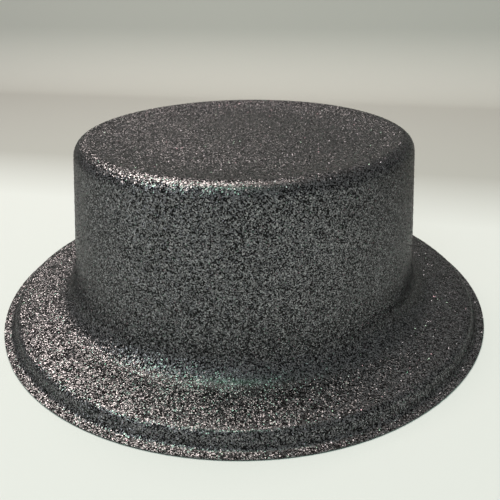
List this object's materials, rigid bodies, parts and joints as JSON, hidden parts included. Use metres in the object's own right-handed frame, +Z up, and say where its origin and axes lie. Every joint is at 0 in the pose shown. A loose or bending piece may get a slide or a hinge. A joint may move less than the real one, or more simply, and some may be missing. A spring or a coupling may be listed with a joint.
{
  "type": "top hat",
  "caption": "Low party top hat: oval flat-topped crown with a shallow dish, draughted wall, wide brim with a turned-down lip and flat flange, glitter coated.",
  "frame": {"origin": "on the ground under the middle of the hat, in the plane of the flange's underside", "axes": "+Z up through the crown, +Y towards the back of the head, so the front of the hat faces -Y, +X to the right of someone who faces the hat"},
  "size_m": [0.2604, 0.2804, 0.09],
  "materials": {
    "black_plastic": "vacuum-formed sheet, soft gloss with the glitter grain showing through",
    "black_glitter": "dense black and silver glitter flakes in clear lacquer"
  },
  "bodies": {
    "root": {"formed_shell": "black_plastic", "glitter_coat": "black_glitter"}
  },
  "joints": []
}
